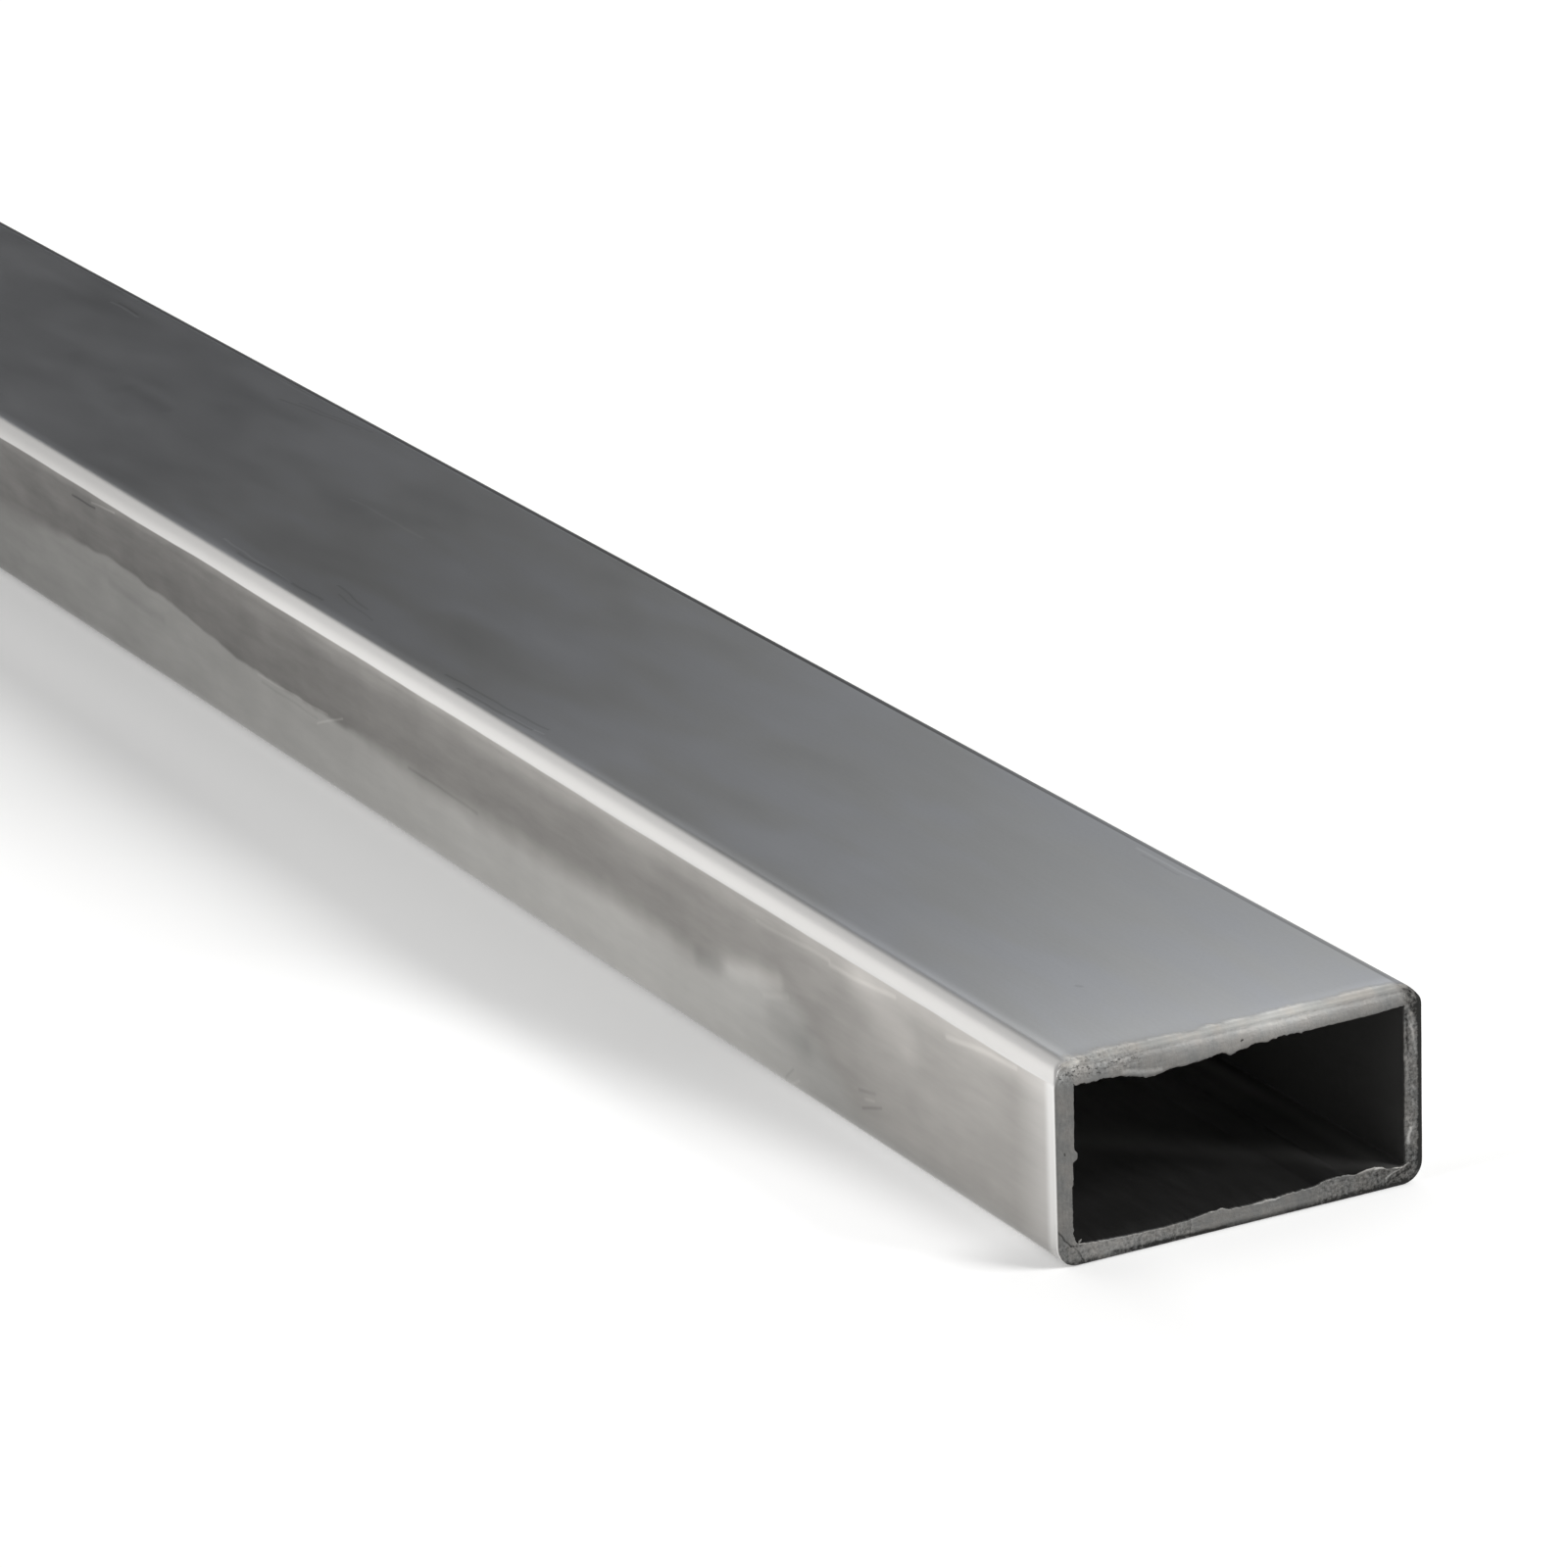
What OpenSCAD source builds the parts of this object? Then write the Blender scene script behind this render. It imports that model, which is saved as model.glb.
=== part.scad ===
// Rectangular hollow section: one length of cold-rolled, welded steel box tube, lying on a wide wall.
// X runs along the length, Y across the width and Z up. The origin is under the middle of the length.
// All sizes are in millimetres.

/* [Section] */
// Outside width, across the wide walls
width = 40; // [20:1:120]
// Outside height, across the narrow walls
height = 20; // [12:1:80]
// Thickness of the strip that the tube is rolled from
wall = 2; // [1:0.1:4]
// Outside radius of the rolled corners
corner_r = 2.2; // [1:0.1:5]

/* [Length and cuts] */
// Length between the two square cuts
length = 1000; // [100:10:6000]
// Radius to which the outside edges of the cuts are worn round
edge_r = 0.25; // [0.1:0.05:1]

/* [Weld seam] */
// Width of the weld bead that is left inside, on the lower wide wall
bead_w = 4; // [2:0.1:8]
// Height of the weld bead above the inner face
bead_h = 0.4; // [0.1:0.05:1]
// Distance of the seam from the outside of the right-hand narrow wall
seam_from_side = 10; // [6:0.5:14]

/* [Hidden] */
$fn = 180;

// The strip keeps its thickness round the bends, so the inside corners share the outside ones' centres.
// Where the strip is thicker than the outside radius, the rolls still leave this small radius inside.
tight_r = 0.2;
inner_r = max(corner_r - wall, tight_r);
bore_w = width - 2 * wall;
bore_h = height - 2 * wall;

// The worn edge leaves at least half of the wall flat on the cut, and fits the rolled corners.
cut_edge_r = min(edge_r, wall / 2, corner_r / 2);

// The bead is a flat arc: this is the radius of the circle through its two feet and its crown.
bead_r = (pow(bead_w / 2, 2) + pow(bead_h, 2)) / (2 * bead_h);

// The bore is cut through past both ends, so no skin is left on either cut.
overcut = 1;

steel = [0.62, 0.62, 0.61];

// A rectangle w wide and h high round the origin, with corners of radius r
module rounded_rectangle(w, h, r) {
    square([w - 2 * r, h], center = true);
    square([w, h - 2 * r], center = true);
    for (x = [-1, 1], y = [-1, 1])
        translate([x * (w / 2 - r), y * (h / 2 - r)]) circle(r);
}

// The weld bead's arc, which bulges into the bore from the lower wide wall
module bead_arc() {
    translate([width / 2 - seam_from_side, -bore_h / 2 + bead_h - bead_r]) circle(bead_r);
}

// The open space inside the tube, seen along the length
module bore_outline() {
    difference() {
        rounded_rectangle(bore_w, bore_h, inner_r);
        bead_arc();
    }
}

// One rolled corner as a round rod along Z, with the edges of both ends worn round
module corner_rod() {
    rotate_extrude() {
        translate([0, -length / 2]) square([corner_r - cut_edge_r, length]);
        translate([0, -length / 2 + cut_edge_r]) square([corner_r, length - 2 * cut_edge_r]);
        for (end = [-1, 1])
            translate([corner_r - cut_edge_r, end * (length / 2 - cut_edge_r)]) circle(cut_edge_r);
    }
}

// The tube's outside as a solid bar round the origin, along X. The four rods carry the rolled corners.
// The two slabs between them carry the flat walls, and each has the worn edges in its own outline.
module solid_bar() {
    rotate([90, 0, 0])
        linear_extrude(width - 2 * corner_r, center = true)
            rounded_rectangle(length, height, cut_edge_r);
    linear_extrude(height - 2 * corner_r, center = true)
        rounded_rectangle(length, width, cut_edge_r);
    for (y = [-1, 1], z = [-1, 1])
        translate([0, y * (width / 2 - corner_r), z * (height / 2 - corner_r)])
            rotate([0, 90, 0]) corner_rod();
}

// The open space inside the tube as a bar round the origin, along X
module bore_bar() {
    rotate([90, 0, 90])
        linear_extrude(length + 2 * overcut, center = true) bore_outline();
}

module hollow_section() {
    color(steel)
        translate([0, 0, height / 2])
            difference() {
                solid_bar();
                bore_bar();
            }
}

hollow_section();
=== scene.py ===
"""A length of rectangular hollow section in bare cold-rolled steel, lying on a white studio floor.

The tube is one mesh, which Geometry Nodes sweep from its wall. A closed loop round the wall's length and
thickness is carried round the middle line of the section, and rules on that mesh then wear the outside
edges of both cuts round, hang the saw's burr from their inside edges and raise the weld bead in the bore.
"""

import math

import bpy
from bpy.props import FloatProperty, FloatVectorProperty, IntProperty, PointerProperty
from mathutils import Matrix, Vector


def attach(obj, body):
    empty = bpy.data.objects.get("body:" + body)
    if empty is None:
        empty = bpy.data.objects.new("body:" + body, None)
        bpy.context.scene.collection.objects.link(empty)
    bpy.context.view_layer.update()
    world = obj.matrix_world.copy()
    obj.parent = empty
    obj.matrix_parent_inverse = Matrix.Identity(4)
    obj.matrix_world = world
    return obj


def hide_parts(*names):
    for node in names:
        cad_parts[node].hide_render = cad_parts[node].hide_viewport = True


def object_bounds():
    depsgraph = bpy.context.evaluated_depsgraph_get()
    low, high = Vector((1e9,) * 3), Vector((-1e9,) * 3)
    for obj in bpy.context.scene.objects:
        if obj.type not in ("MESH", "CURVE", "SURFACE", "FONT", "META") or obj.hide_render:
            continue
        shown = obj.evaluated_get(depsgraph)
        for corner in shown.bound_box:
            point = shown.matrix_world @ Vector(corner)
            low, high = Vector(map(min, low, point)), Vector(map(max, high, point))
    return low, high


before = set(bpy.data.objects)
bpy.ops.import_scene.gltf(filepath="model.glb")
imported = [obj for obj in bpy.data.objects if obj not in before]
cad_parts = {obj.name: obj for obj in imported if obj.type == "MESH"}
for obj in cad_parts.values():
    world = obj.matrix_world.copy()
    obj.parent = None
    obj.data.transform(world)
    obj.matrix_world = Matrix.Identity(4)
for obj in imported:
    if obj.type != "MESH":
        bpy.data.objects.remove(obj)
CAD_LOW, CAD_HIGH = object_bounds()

bl_info = {
    "name": "Rectangular hollow section",
    "version": (1, 0, 0),
    "blender": (4, 5, 0),
    "location": "3D View > Sidebar > Steel tube",
    "description": "A welded steel tube with sawn, burred ends, and a studio to see it in",
    "category": "Add Mesh",
}

MM = 0.001
NODE = "hollow_section"
BODY = "root"
PIECE = "steel_tube"

# Inside edge of the cut, from the strip's own inner face, in mm: how far the burr stands into the bore.
# A negative step is where the edge has broken away. Places are across the width for the two wide walls,
# and above the middle of the height for the two narrow ones.
UPPER_BURR = ((-18.0, 0.0), (-16.7, 0.15), (-14.8, 0.0), (-13.0, 0.2), (-11.8, 0.55), (-10.2, 0.95),
              (-9.3, 1.0), (-7.5, 0.62), (-6.2, 0.72), (-2.8, 0.35), (-1.7, 0.35), (-1.0, 0.72),
              (-0.2, 0.35), (0.7, 0.42), (1.6, 0.05), (2.6, 0.2), (4.6, 0.0), (6.0, 0.1), (15.0, 0.02),
              (18.0, -0.18))
LOWER_BURR = ((-18.0, 0.45), (-17.7, 0.18), (-17.4, 0.06), (-17.0, 0.0), (-13.0, -0.2), (-9.0, -0.32),
              (-6.0, -0.2), (-3.4, 0.1), (-2.4, 0.2), (-1.4, -0.1), (0.0, -0.18), (4.0, -0.12),
              (7.2, 0.05), (10.6, 0.06), (11.6, 0.3), (12.4, 0.28), (13.6, 0.5), (14.6, 0.52),
              (15.4, 0.35), (15.9, 0.05), (17.5, -0.1), (18.0, 0.0))
LEFT_BURR = ((-8.0, 0.3), (-7.8, 0.08), (-7.5, -0.12), (-7.1, -0.26), (-5.6, -0.35), (-2.1, -0.32),
             (-1.9, -0.18), (0.3, -0.2), (0.6, 0.28), (1.2, 0.3), (1.5, -0.05), (4.0, 0.0), (8.0, 0.05))
RIGHT_BURR = ((-8.0, -0.05), (-4.0, 0.1), (0.0, 0.0), (4.0, 0.12), (8.0, 0.0))

# Oil on the narrow walls, by the distance from the cut in mm: the height at which the thick film ends,
# and how light the metal looks under it and where it is wiped thin, as shares of their colours. Up to
# about 300 mm the lightness is partly the film's own tone and partly painted light and shade, which
# changes along the tube; further on it only varies the tone.
WIPE_LIMIT = ((0, 2), (38, 3), (50, 10.5), (60, 11.6), (72, 9.0), (90, 9.8), (110, 9.2), (135, 9.4),
              (160, 9.3), (185, 9.3), (200, 10.8), (215, 11.8), (235, 11.4), (260, 10), (320, 8), (390, 12),
              (470, 9), (560, 11), (690, 7), (810, 12), (900, 9), (1000, 13))
FILM_TONE_AND_SHADING = ((0, 0.84), (3, 0.8), (6, 0.71), (12, 0.75), (30, 0.79), (50, 0.66), (90, 0.65), (130, 0.59),
             (170, 0.43), (210, 0.33), (250, 0.33), (320, 0.42), (420, 0.65), (560, 0.5), (720, 0.7),
             (860, 0.55), (1000, 0.9))
WIPED_TONE_AND_SHADING = ((0, 0.86), (3, 0.82), (6, 0.75), (25, 0.8), (45, 0.86), (62, 1.26), (90, 1.35), (130, 1.18),
              (170, 0.95), (210, 0.77), (250, 0.62), (320, 0.6), (420, 0.9), (560, 0.75), (720, 1.05),
              (860, 0.8), (1000, 1.0))
# How light the wide walls are, by the distance from the near cut in mm. Up to about 300 mm this is
# painted reflection, which changes along the tube; further on it only varies the tone.
WIDE_REFLECTION_AND_TONE = ((0, 1.0), (5, 0.93), (12, 0.86), (25, 0.78), (45, 0.74), (70, 0.78), (100, 0.84), (160, 0.84),
             (200, 0.9), (240, 0.87), (320, 0.92), (430, 1.02), (580, 0.9), (760, 1.05), (1000, 0.92))

# Marks: start, end, half width and tone. Along the walls the places are the distance from the cut and
# the place across the wide wall or the height on the narrow one, on the cuts the place across and the
# height. The tone is added to the shade.
SIDE_MARKS = (
    ((139, 9.3), (122, 9), 0.35, -0.14),
    ((71, 8.6), (67, 9), 2, -0.18),
    ((64, 9.6), (54, 11.4), 1.9, 0.2),
    ((57, 9), (52, 10.4), 0.6, 0.1),
    ((55, 7.6), (49, 6.4), 3.2, -0.16),
    ((37, 17), (28, 13), 4, 0.14),
    ((37.8, 5.5), (34.6, 6), 0.35, -0.12),
    ((37.2, 3.8), (33.4, 4.9), 0.3, -0.16),
    ((36.6, 4.9), (34.8, 5.2), 0.3, 0.12),
    ((53.4, 1.4), (51.4, 3), 0.3, -0.16),
    ((52.4, 1), (50.2, 2.2), 0.3, 0.14),
    ((43, 16.6), (30, 17.3), 0.45, 0.14),
    ((58, 16.5), (43, 17), 0.4, 0.08),
    ((20, 16.7), (7, 17.8), 0.5, 0.16),
    ((163, 7.6), (156, 10.1), 0.25, 0.22),
    ((179, 8.9), (160, 9.4), 0.25, 0.16),
    ((178, 8.3), (163, 8.2), 0.3, -0.1),
    ((222, 8.5), (206, 8.3), 0.9, -0.08),
    ((232, 17), (225, 17.1), 0.25, -0.2),
    ((226, 17.6), (219, 17.9), 0.25, 0.2),
)
TOP_MARKS = (
    ((301, 14.6), (292, 14.4), 0.3, 0.35),
    ((300, 15.1), (293, 14.9), 0.25, -0.3),
    ((246, 13.8), (228, 16.2), 0.3, -0.2),
    ((243, 15), (226, 17), 0.25, -0.2),
    ((256, 17), (244, 17.4), 0.3, 0.15),
    ((202, 3), (183, 3.2), 0.4, 0.12),
    ((280, 1), (262, -1), 3, -0.1),
    ((262, 0.5), (250, 0), 2, -0.12),
    ((196, -16), (176, -16.6), 0.3, 0.25),
    ((190, -16.9), (168, -16.4), 0.35, -0.22),
    ((172, -12.6), (162, -13.6), 0.3, -0.2),
    ((169, -14), (158, -14.8), 0.25, -0.16),
    ((136, -16.3), (113, -15.6), 0.3, -0.25),
    ((131, -17.4), (114, -16.9), 0.35, -0.3),
    ((120, -16.9), (112, -16.7), 0.25, 0.25),
    ((47, 16.8), (36, 17.4), 0.3, 0.22),
    ((45, 16.3), (38, 16.6), 0.25, -0.12),
    ((17.2, -7.4), (16.8, -7.2), 0.4, -0.2),
)
CUT_MARKS = (
    ((0.05, 18.35), (0.2, 18.42), 0.18, -0.9),
    ((-19.1, 11.4), (-19.05, 11.2), 0.15, -0.45),
    ((18.6, 5.6), (18.35, 4.2), 0.35, 1),
    ((18.8, 17.2), (18.9, 14.4), 0.3, 0.3),
    ((18.15, 17.6), (18.3, 13.8), 0.25, -0.3),
    ((-19.2, 19.2), (-17, 19.8), 0.35, 0.5),
    ((18.7, 16), (19.3, 13.2), 0.25, 0.35),
    ((18.3, 19.8), (19.9, 16.6), 1, -0.45),
    ((-20, 3.8), (-18.6, 2.1), 0.15, -0.4),
    ((-18.6, 2.1), (-17.4, 1.9), 0.12, -0.3),
    ((-18.3, 2), (-17.2, 0.4), 0.15, -0.35),
    ((14.6, 2.35), (17.6, 1.9), 0.15, 0.9),
    ((15.8, 1.1), (18.4, 2.2), 0.13, 0.6),
    ((16, 0.7), (18.4, 1.6), 0.2, -0.3),
    ((12.9, 2.5), (15.3, 2.6), 0.4, 0.6),
    ((-12.6, 18), (-8.6, 17.5), 0.35, 0.35),
    ((-3.4, 2.2), (-2, 2.3), 0.2, 0.5),
    ((1.2, 1.85), (4, 1.75), 0.15, 0.6),
    ((-9.4, 1.9), (-9.5, 0.3), 0.1, -0.3),
    ((-5.7, 2), (-5.8, 0.4), 0.1, -0.3),
    ((-14, 0.5), (-2, 0.3), 0.3, -0.25),
)
# How light the cut is along the lower and the upper wall, across the width. The upper wall's tones are
# partly painted light, where its face leans back under the light from above.
LOWER_TONE = ((-20.0, 0.6), (-17.0, 0.82), (-14.0, 0.92), (-9.0, 0.73), (-3.0, 0.73), (3.0, 0.76),
              (8.0, 0.64), (12.0, 0.55), (15.0, 0.47), (18.0, 0.36), (20.0, 0.3))
UPPER_TONE_AND_LIGHT = ((-20.0, 1.0), (-15.0, 0.92), (-9.0, 0.93), (-6.0, 1.17), (-2.0, 1.16), (3.0, 1.5),
              (7.0, 1.42), (12.0, 1.05), (15.0, 1.0), (17.6, 0.88), (18.6, 0.72), (20.0, 0.6))
# How light the cut is along the left and the right wall
SIDE_TONES = (0.72, 0.55)


def is_vector(value):
    if isinstance(value, Wire):
        return value.socket.type in {"VECTOR", "RGBA"}
    return isinstance(value, (tuple, Vector))


def arithmetic(operation, reflected=False):
    """A method that adds one Math node. Its wire comes second where the operator is a reflected one."""
    def add_node(self, *others):
        values = (*others, self) if reflected else (self, *others)
        return self.graph.calculate(operation, *values)
    return add_node


class Wire:
    """One output of a node. Arithmetic on it adds Math nodes, or Vector Math nodes where it is a vector."""

    __add__, __radd__ = arithmetic("ADD"), arithmetic("ADD", reflected=True)
    __sub__, __rsub__ = arithmetic("SUBTRACT"), arithmetic("SUBTRACT", reflected=True)
    __truediv__, __rtruediv__ = arithmetic("DIVIDE"), arithmetic("DIVIDE", reflected=True)
    __pow__, __rpow__ = arithmetic("POWER"), arithmetic("POWER", reflected=True)
    __gt__, __lt__ = arithmetic("GREATER_THAN"), arithmetic("LESS_THAN")
    __mod__ = arithmetic("FLOORED_MODULO")
    __abs__ = arithmetic("ABSOLUTE")
    most, least = arithmetic("MAXIMUM"), arithmetic("MINIMUM")
    sqrt, sign, floor = arithmetic("SQRT"), arithmetic("SIGN"), arithmetic("FLOOR")

    def __init__(self, graph, socket):
        self.graph = graph
        self.socket = socket

    def __getitem__(self, name):
        return Wire(self.graph, self.socket.node.outputs[name])

    def __mul__(self, other):
        if is_vector(self) and not is_vector(other):
            return self.graph.scaled(self, other)
        if is_vector(other) and not is_vector(self):
            return self.graph.scaled(other, self)
        return self.graph.calculate("MULTIPLY", self, other)

    def __rmul__(self, other):
        return self * other

    def ramp(self, low, high, kind="SMOOTHSTEP"):
        """0 below low and 1 above high, eased between them. It falls instead where low is the larger."""
        return self.graph.node("ShaderNodeMapRange", {"interpolation_type": kind},
                               {"Value": self, "From Min": low, "From Max": high})

    def parts(self):
        split = self.graph.node("ShaderNodeSeparateXYZ", {}, {"Vector": self})
        return split["X"], split["Y"], split["Z"]


class Graph:
    """A node tree that is being built, for geometry or for a material."""

    def __init__(self, tree):
        self.tree = tree

    def node(self, kind, settings=None, values=None, output=0):
        """Adds a node: its settings first, then the values or links of its sockets. Gives one output."""
        made = self.tree.nodes.new(kind)
        for name, value in (settings or {}).items():
            if name == "points":
                self.fill_curve(made.mapping, value)
            elif name == "capture":
                made.capture_items.new(value, "Value")
            else:
                setattr(made, name, value)
        for name, value in (values or {}).items():
            self.plug(value, made.inputs[name])
        return Wire(self, made.outputs[output]) if len(made.outputs) else made

    def plug(self, value, socket):
        if isinstance(value, Wire):
            self.tree.links.new(value.socket, socket)
        else:
            socket.default_value = value

    @staticmethod
    def fill_curve(mapping, points):
        curve = mapping.curves[0]
        while len(curve.points) < len(points):
            curve.points.new(0.5, 0.5)
        for point, place in zip(curve.points, points):
            point.location = place
            point.handle_type = "VECTOR"
        mapping.update()

    def calculate(self, operation, *values):
        vector = any(is_vector(value) for value in values)
        made = self.tree.nodes.new("ShaderNodeVectorMath" if vector else "ShaderNodeMath")
        made.operation = operation
        for socket, value in zip(made.inputs, values):
            if vector and not is_vector(value) and not isinstance(value, Wire):
                value = (value, value, value)
            self.plug(value, socket)
        return Wire(self, made.outputs[0])

    def scaled(self, vector, factor):
        return self.node("ShaderNodeVectorMath", {"operation": "SCALE"}, {0: vector, "Scale": factor})

    def vector(self, x, y, z):
        return self.node("ShaderNodeCombineXYZ", {}, {"X": x, "Y": y, "Z": z})

    def blend(self, factor, a, b):
        """Colour a where factor is 0, and colour b where it is 1."""
        return self.node("ShaderNodeMix", {"data_type": "RGBA"}, {0: factor, 6: a, 7: b}, output=2)

    def noise(self, place, scale=1.0, detail=2.0, roughness=0.5, distortion=0.0):
        return self.node("ShaderNodeTexNoise", {"noise_dimensions": "3D"},
                         {"Vector": place, "Scale": scale, "Detail": detail, "Roughness": roughness,
                          "Distortion": distortion})

    def profile(self, place, points):
        """A curve of straight stretches through points. Both place and result are in the points' units."""
        places = [point[0] for point in points]
        heights = [point[1] for point in points]
        low, high = places[0], places[-1]
        floor, top = min(heights), max(heights)
        unit = [((x - low) / (high - low), (h - floor) / (top - floor)) for x, h in points]
        curve = self.node("ShaderNodeFloatCurve", {"points": unit}, {"Value": (place - low) / (high - low)})
        return curve * (top - floor) + floor

    def strokes(self, place, marks):
        """The sum of straight marks. Each runs from its start to its end and fades over its half width."""
        # The marks lie flat, so what the place has in depth is dropped.
        flat = Vector((1.0, 1.0, 0.0))
        total = 0.0
        for start, end, half_width, tone in marks:
            first = Vector((*start, 0.0))
            run = Vector((*end, 0.0)) - first
            from_first = self.calculate("SUBTRACT", place, tuple(first)) * flat
            share = self.node("ShaderNodeVectorMath", {"operation": "DOT_PRODUCT"},
                              {0: from_first, 1: tuple(run / run.length_squared)}, "Value")
            nearest = self.scaled(tuple(run), share.most(0.0).least(1.0))
            beside = self.node("ShaderNodeVectorMath", {"operation": "DISTANCE"},
                               {0: from_first, 1: nearest}, "Value")
            total = beside.ramp(half_width, 0.0) * tone + total
        return total


def length_property(name, description, default):
    return FloatProperty(name=name, description=description, default=default, subtype="DISTANCE",
                         unit="LENGTH", precision=5)


def colour_property(name, description, default):
    return FloatVectorProperty(name=name, description=description, default=default, subtype="COLOR",
                               min=0.0, max=1.0)


def roughness_property(name, description, default):
    return FloatProperty(name=name, description=description, default=default, subtype="FACTOR",
                         min=0.0, max=1.0)


def strength_property(name, description, default, lowest=0.0):
    return FloatProperty(name=name, description=description, default=default, min=lowest)


class SectionSizes(bpy.types.PropertyGroup):
    length: length_property("Length", "Between the two square cuts", CAD_HIGH.x - CAD_LOW.x)
    width: length_property("Width", "Outside, across the wide walls", CAD_HIGH.y - CAD_LOW.y)
    height: length_property("Height", "Outside, across the narrow walls", CAD_HIGH.z - CAD_LOW.z)
    wall: length_property("Wall", "Thickness of the strip", 2 * MM)
    corner_radius: length_property("Corner radius", "Outside radius of the rolled corners", 2.2 * MM)
    bead_width: length_property("Bead width", "Width of the weld bead in the bore", 4 * MM)
    bead_height: length_property("Bead height", "Height of the weld bead above the inner face", 0.4 * MM)
    seam_from_side: length_property(
        "Seam from side", "From the right-hand narrow wall's outside to the seam", 10 * MM)


class CutWear(bpy.types.PropertyGroup):
    edge_radius: length_property(
        "Worn edge", "Radius to which the outside edges of the cuts are worn", 0.25 * MM)
    roll_over: strength_property(
        "Roll-over", "How many times rounder the edge is where the saw came in", 4.0, lowest=1.0)
    burr: strength_property("Burr", "How much of the saw's burr is left, 1 as it came", 1.0)
    raggedness: length_property("Raggedness", "Height of the burr's teeth", 0.16 * MM)
    saw_marks: length_property("Saw marks", "Depth of the marks on the cut faces", 0.05 * MM)
    lean: length_property("Lean", "How far the cut leans back over the upper wall", 0.5 * MM)
    seed: IntProperty(name="Seed", description="Another number gives other teeth and marks", default=3)
    steps_around: IntProperty(
        name="Steps around", description="Points round the section", default=800, min=64)
    steps_along: IntProperty(
        name="Steps along", description="Points along each side of the wall, an even number",
        default=44, min=8)
    steps_across: IntProperty(
        name="Steps across the cut", description="Points across the thickness of the wall", default=16,
        min=4)


class SteelFinish(bpy.types.PropertyGroup):
    mill_colour: colour_property(
        "Mill surface", "Rolled outside of the wide walls", (0.487, 0.487, 0.482))
    # Also the bluish tint that is painted reflection on the wide walls far from the near cut.
    cool_colour: colour_property(
        "Cool mottles", "Bluish mottles on the wide walls", (0.472, 0.478, 0.494))
    film_colour: colour_property(
        "Oil film", "Narrow walls under the thick film of oil", (0.472, 0.453, 0.43))
    wiped_colour: colour_property(
        "Wiped film", "Narrow walls where the oil is wiped thin", (0.465, 0.458, 0.44))
    # Partly the burnish of the rolled corners and partly their painted highlight.
    burnish_and_highlight_colour: colour_property(
        "Burnished edge", "Rolled corners and the rim of the ends", (0.7, 0.692, 0.68))
    cut_colour: colour_property("Cut", "Sawn metal of the two ends", (0.264, 0.265, 0.259))
    cut_warm_colour: colour_property(
        "Warm cut", "Heat-tinted patches of the sawn metal", (0.272, 0.264, 0.251))
    bore_colour: colour_property("Bore", "Oily scale inside the tube", (0.03, 0.0297, 0.0288))
    mill_roughness: roughness_property("Mill roughness", "Roughness of the rolled surface", 0.32)
    cut_roughness: roughness_property("Cut roughness", "Roughness of the sawn metal", 0.65)
    bore_roughness: roughness_property("Bore roughness", "Roughness of the scale inside", 0.5)


class StudioSettings(bpy.types.PropertyGroup):
    floor_colour: colour_property("Floor", "Paper that the tube lies on", (0.88, 0.88, 0.875))
    floor_lift: strength_property(
        "Floor lift", "Brings the lit floor up to plain white where it is seen", 0.2)
    # Scales the painted light that fades the floor's shadow, and the painted shade behind.
    shadow_fade: strength_property("Shadow fade", "Extra lift of the floor beside the near cut", 0.25)
    sky: strength_property("Sky", "Strength of the even light from all round", 0.5)
    key: strength_property("Key", "Strength of the soft lamp from the front right", 2.5)
    edge_box: strength_property(
        "Edge softbox", "Brightness of the softbox that the rolled edge mirrors", 0.7)
    back_box: strength_property("Back softbox", "Brightness of the softbox beyond the far end", 0.4)


class TubeSettings(bpy.types.PropertyGroup):
    sizes: PointerProperty(type=SectionSizes)
    wear: PointerProperty(type=CutWear)
    finish: PointerProperty(type=SteelFinish)
    studio: PointerProperty(type=StudioSettings)


SOCKET_KINDS = {float: "NodeSocketFloat", int: "NodeSocketInt", bpy.types.Material: "NodeSocketMaterial"}


def tree_inputs(tree, entries):
    """Gives a geometry tree its named inputs, and returns the wires that they come in on, by name."""
    for name, value in entries.items():
        tree.interface.new_socket(name=name, in_out="INPUT", socket_type=SOCKET_KINDS[type(value)])
    tree.interface.new_socket(name="Geometry", in_out="OUTPUT", socket_type="NodeSocketGeometry")
    graph = Graph(tree)
    source = graph.node("NodeGroupInput")
    return graph, {name: source[name] for name in entries}


def section_line(graph, size):
    """The closed middle line of the wall, as a curve flat on X and Y, and each point's place on it."""
    square = graph.node("GeometryNodeCurvePrimitiveQuadrilateral", {"mode": "RECTANGLE"},
                        {"Width": size["Width"] - size["Wall"], "Height": size["Height"] - size["Wall"]})
    bend_points = 24
    rolled = graph.node("GeometryNodeFilletCurve", {"mode": "POLY"},
                        {"Curve": square, "Count": bend_points,
                         "Radius": size["Corner Radius"] - size["Wall"] / 2})
    even = graph.node("GeometryNodeResampleCurve", {"mode": "COUNT"},
                      {"Curve": rolled, "Count": size["Steps Around"]})
    place = graph.node("GeometryNodeCaptureAttribute", {"domain": "POINT", "capture": "VECTOR"},
                       {"Geometry": even, "Value": graph.node("GeometryNodeInputPosition")})
    around = graph.node("GeometryNodeCaptureAttribute", {"domain": "POINT", "capture": "FLOAT"},
                        {"Geometry": place, "Value": graph.node("GeometryNodeSplineParameter")["Length"]})
    return around, place["Value"], around["Value"]


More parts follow.
